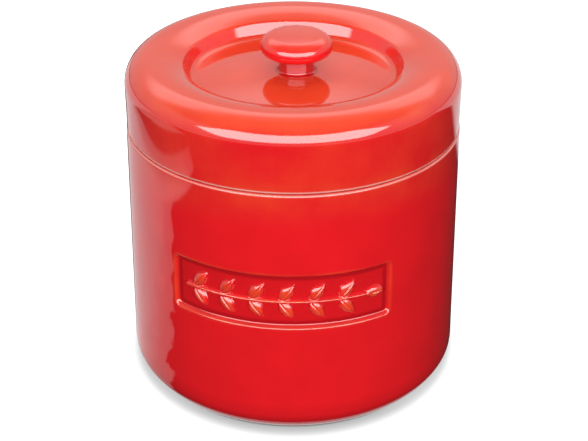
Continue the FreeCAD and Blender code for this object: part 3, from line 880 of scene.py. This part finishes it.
def make_floor():
    """A wide white floor that keeps the jar's soft shadow.

    Its tone is painted down to a narrow dark ring under the jar's foot and back up over a few millimetres:
    a painted shadow where it meets the floor. For the camera alone it also glows, more with distance from
    the foot and more to the sides, which paints the shadow's edge and lightens it aside, so that it runs
    out into the white background.
    """
    floor = make_sheet("studio_floor", FLOOR_RADII, FLOOR_LEVEL)
    material, tree, shader = new_material("white_sweep")
    shader.inputs["Roughness"].default_value = 0.9
    shader.inputs["Specular IOR Level"].default_value = 0.0
    shader.inputs["Emission Color"].default_value = WHITE
    ray = tree.nodes.new("ShaderNodeLightPath")
    place = tree.nodes.new("ShaderNodeTexCoord")
    parts = tree.nodes.new("ShaderNodeSeparateXYZ")
    span = tree.nodes.new("ShaderNodeVectorMath")
    span.operation = "LENGTH"
    tree.links.new(place.outputs["Object"], parts.inputs[0])
    tree.links.new(place.outputs["Object"], span.inputs[0])
    distance = span.outputs["Value"]

    # Painted shadow at the foot: the floor's colour drops to a dark ring under the foot and rises back
    # outward.
    contact = smooth_ramp(tree, distance, *CONTACT_RING)
    fading = smooth_ramp(tree, distance, *FADING_RING)
    grey = product(tree, contact, fading, FLOOR_TONE)
    tone = tree.nodes.new("ShaderNodeCombineColor")
    for channel in tone.inputs:
        tree.links.new(grey, channel)
    tree.links.new(tone.outputs["Color"], shader.inputs["Base Color"])

    # Camera-only glow, low by the foot and higher to the sides: painted light that shapes and lightens the
    # shadow.
    lift = smooth_ramp(tree, distance, *LIFT_RING)
    aside = smooth_ramp(tree, math_node(tree, "ABSOLUTE", parts.outputs["X"]), *LIFT_ASIDE)
    lift = math_node(tree, "MAXIMUM", lift, aside)
    lift = math_node(tree, "MAXIMUM", lift, smooth_ramp(tree, distance, *LIFT_FAR))
    glow = product(tree, ray.outputs["Is Camera Ray"], lift)
    tree.links.new(glow, shader.inputs["Emission Strength"])
    dress(floor, material)


def make_card():
    """What the glaze mirrors from the table, on a sheet that the camera never sees directly.

    It is dark in front and on the right. Left of the jar it is pale beyond a ragged line
    y = line(x), with a dark gap across, and a dark wedge is cut out of it close to the jar. It is
    bright behind, far off all round and in a narrow ring under the jar's base. Its underside gives
    the floor the even light that the sheet keeps off.
    """
    card = make_sheet("mirrored_table", CARD_RADII, CARD_LEVEL)
    material, tree, shader = new_material("mirrored_table")
    place = tree.nodes.new("ShaderNodeTexCoord").outputs["Object"]
    parts = tree.nodes.new("ShaderNodeSeparateXYZ")
    tree.links.new(place, parts.inputs[0])
    x, y = parts.outputs["X"], parts.outputs["Y"]
    rag = add_node(tree, "ShaderNodeTexNoise", Scale=75.0, Detail=3.0)
    tree.links.new(place, rag.inputs["Vector"])
    wobble = product(tree, math_node(tree, "SUBTRACT", rag.outputs[0], 0.5), CARD_RAG)

    line = smooth_ramp(tree, x, *PALE_LINE)
    beyond = math_node(tree, "SUBTRACT", math_node(tree, "ADD", y, wobble), line)
    slant = math_node(tree, "ADD", x, product(tree, y, WEDGE_SLANT))
    clear = smooth_ramp(tree, slant, *WEDGE_EDGE)
    gap = product(tree, smooth_ramp(tree, x, *GAP_RIGHT), smooth_ramp(tree, x, *GAP_LEFT))
    pale = product(
        tree,
        smooth_ramp(tree, beyond, *PALE_EDGE),
        smooth_ramp(tree, x, *PALE_SIDE),
        smooth_ramp(tree, beyond, *PALE_GLOW),
        clear,
        smooth_ramp(tree, gap, *GAP_GLOW),
        smooth_ramp(tree, x, *PALE_FAR),
    )
    sides = math_node(tree, "MAXIMUM", product(tree, clear, FAR_GLOW), smooth_ramp(tree, x, *FAR_RIGHT))
    far = product(tree, smooth_ramp(tree, y, *FAR_EDGE), sides)
    distance = level_length(tree, x, y)
    front = product(tree, smooth_ramp(tree, distance, *FRONT_EDGE), FRONT_GLOW)
    near = smooth_ramp(tree, distance, *NEAR_RING)
    above = pale
    for part in (far, front, near):
        above = math_node(tree, "MAXIMUM", above, part)
    under = tree.nodes.new("ShaderNodeNewGeometry").outputs["Backfacing"]
    above = product(tree, above, math_node(tree, "SUBTRACT", 1.0, under))
    glow = math_node(tree, "ADD", above, product(tree, under, TABLE_FILL))

    shader.inputs["Base Color"].default_value = BLACK
    shader.inputs["Specular IOR Level"].default_value = 0.0
    shader.inputs["Emission Color"].default_value = WHITE
    tree.links.new(glow, shader.inputs["Emission Strength"])
    dress(card, material)
    card.visible_camera = False
    card.visible_shadow = False
    card.visible_transmission = False


def make_world():
    """White to the camera, an even fill to matt surfaces, and to reflections a dome with two lights.

    The long light stands in front, from about 6 up to 34 degrees above the table, and tapers off
    to both sides until it ends 69 degrees round. A weaker window hangs high up behind, and the
    dome is shaded overhead.
    """
    world = bpy.data.worlds.new("studio")
    bpy.context.scene.world = world
    world.use_nodes = True
    tree = world.node_tree
    tree.nodes.clear()
    ray = tree.nodes.new("ShaderNodeLightPath")
    place = tree.nodes.new("ShaderNodeTexCoord")
    parts = tree.nodes.new("ShaderNodeSeparateXYZ")
    tree.links.new(place.outputs["Generated"], parts.inputs[0])
    x, y, z = (parts.outputs[label] for label in "XYZ")

    level = level_length(tree, x, y)
    behind = math_node(tree, "DIVIDE", y, level)
    toward_front = product(tree, behind, -1.0)
    away = math_node(tree, "ABSOLUTE", math_node(tree, "SUBTRACT", z, STRIP_MIDDLE))
    past = math_node(tree, "SUBTRACT", away, smooth_ramp(tree, toward_front, *STRIP_HALF))
    strip = product(
        tree,
        smooth_ramp(tree, past, *STRIP_EDGE),
        smooth_ramp(tree, toward_front, *STRIP_ENDS),
        STRIP_GLOW,
    )
    window = product(
        tree,
        smooth_ramp(tree, z, *WINDOW_FOOT),
        smooth_ramp(tree, z, *WINDOW_TOP),
        smooth_ramp(tree, behind, *WINDOW_SIDES),
        BACK_GLOW,
    )
    shade = product(tree, smooth_ramp(tree, z, *SHADE_RISE), smooth_ramp(tree, y, *SHADE_FRONT))
    dome = product(tree, math_node(tree, "SUBTRACT", 1.0, shade), DOME_GLOW)
    mirror = math_node(tree, "ADD", math_node(tree, "ADD", dome, window), strip)

    beyond_fill = math_node(tree, "SUBTRACT", mirror, FILL_LIGHT)
    mirrored = product(tree, beyond_fill, ray.outputs["Is Glossy Ray"])
    light = math_node(tree, "ADD", mirrored, FILL_LIGHT)
    short_of_white = math_node(tree, "SUBTRACT", 1.0, light)
    white = product(tree, short_of_white, ray.outputs["Is Camera Ray"])
    background = tree.nodes.new("ShaderNodeBackground")
    background.inputs["Color"].default_value = WHITE
    tree.links.new(math_node(tree, "ADD", light, white), background.inputs["Strength"])
    output = tree.nodes.new("ShaderNodeOutputWorld")
    tree.links.new(background.outputs[0], output.inputs[0])


def add_softbox(name, place, target, size, power):
    """A rectangular area light at a place, facing a target, that only lights matt surfaces."""
    data = bpy.data.lights.new(name, "AREA")
    data.shape = "RECTANGLE"
    data.size, data.size_y = size
    data.energy = power
    light = bpy.data.objects.new(name, data)
    bpy.context.scene.collection.objects.link(light)
    light.location = place
    aim = light.location.copy()
    aim.x, aim.y, aim.z = (target[0] - place[0], target[1] - place[1], target[2] - place[2])
    light.rotation_euler = aim.to_track_quat("-Z", "Y").to_euler()
    light.visible_glossy = False
    light.visible_camera = False
    return light


def make_lights():
    """A softbox overhead and a broad one in front."""
    add_softbox("overhead_softbox", place=(0.0, 0.30, 0.85), target=(0.0, 0.0, 0.08),
                size=(1.2, 1.0), power=6.6)
    add_softbox("front_softbox", place=(0.06, -1.08, 0.55), target=(0.0, 0.0, 0.05),
                size=(1.7, 0.6), power=19.4)


def make_camera():
    """The photograph's camera, from the fit of its outline: long lens, pitched down on to the lid."""
    data = bpy.data.cameras.new("camera")
    data.sensor_width = SENSOR_WIDTH
    data.lens = FOCAL_PIXELS / PHOTO_WIDTH * SENSOR_WIDTH
    data.clip_start = 0.01
    camera = bpy.data.objects.new("camera", data)
    bpy.context.scene.collection.objects.link(camera)
    camera.location = CAMERA_PLACE
    camera.rotation_euler = (math.pi / 2 - CAMERA_PITCH, 0.0, 0.0)
    bpy.context.scene.camera = camera


def put(piece, body, slot, material, *nodes):
    """Dresses a piece, makes it ride on a body and stand for its CAD nodes."""
    dress(piece, material)
    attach(piece, body)
    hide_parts(*nodes)


def main():
    """Makes every piece, its finish, the lights and the camera."""
    glaze = glaze_group()
    jar_glaze = make_glaze("jar_glaze", glaze)
    lid_glaze = make_glaze("lid_glaze", glaze)
    knob_glaze = make_glaze("knob_glaze", glaze, ripple=FINE_RIPPLE)
    relief_glaze = make_glaze("relief_glaze", glaze, ripple=FINE_RIPPLE)
    put(make_jar(), "jar", "red_glaze", jar_glaze, "jar_body")
    put(make_relief(), "jar", "relief_glaze", relief_glaze, "panel_relief")
    put(make_lid(), "lid", "lid_glaze", lid_glaze, "lid_shell")
    put(make_knob(), "lid", "knob_glaze", knob_glaze, "lid_knob")
    wire = make_steel("drawn_wire", WIRE_STEEL, roughness=0.28, ring_lines=False)
    cup_steel = make_steel("pressed_steel", CUP_STEEL, roughness=0.30)
    ring_steel = make_steel("ring_steel", RING_STEEL, roughness=0.34)
    put(make_weave(), "strainer", "wire_mesh", wire, "strainer_mesh")
    dress(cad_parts["strainer_cup"], cup_steel)
    dress(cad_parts["strainer_clamp_ring"], ring_steel)
    make_floor()
    make_card()
    make_world()
    make_lights()
    make_camera()
    bpy.context.scene.view_settings.view_transform = "Standard"


main()
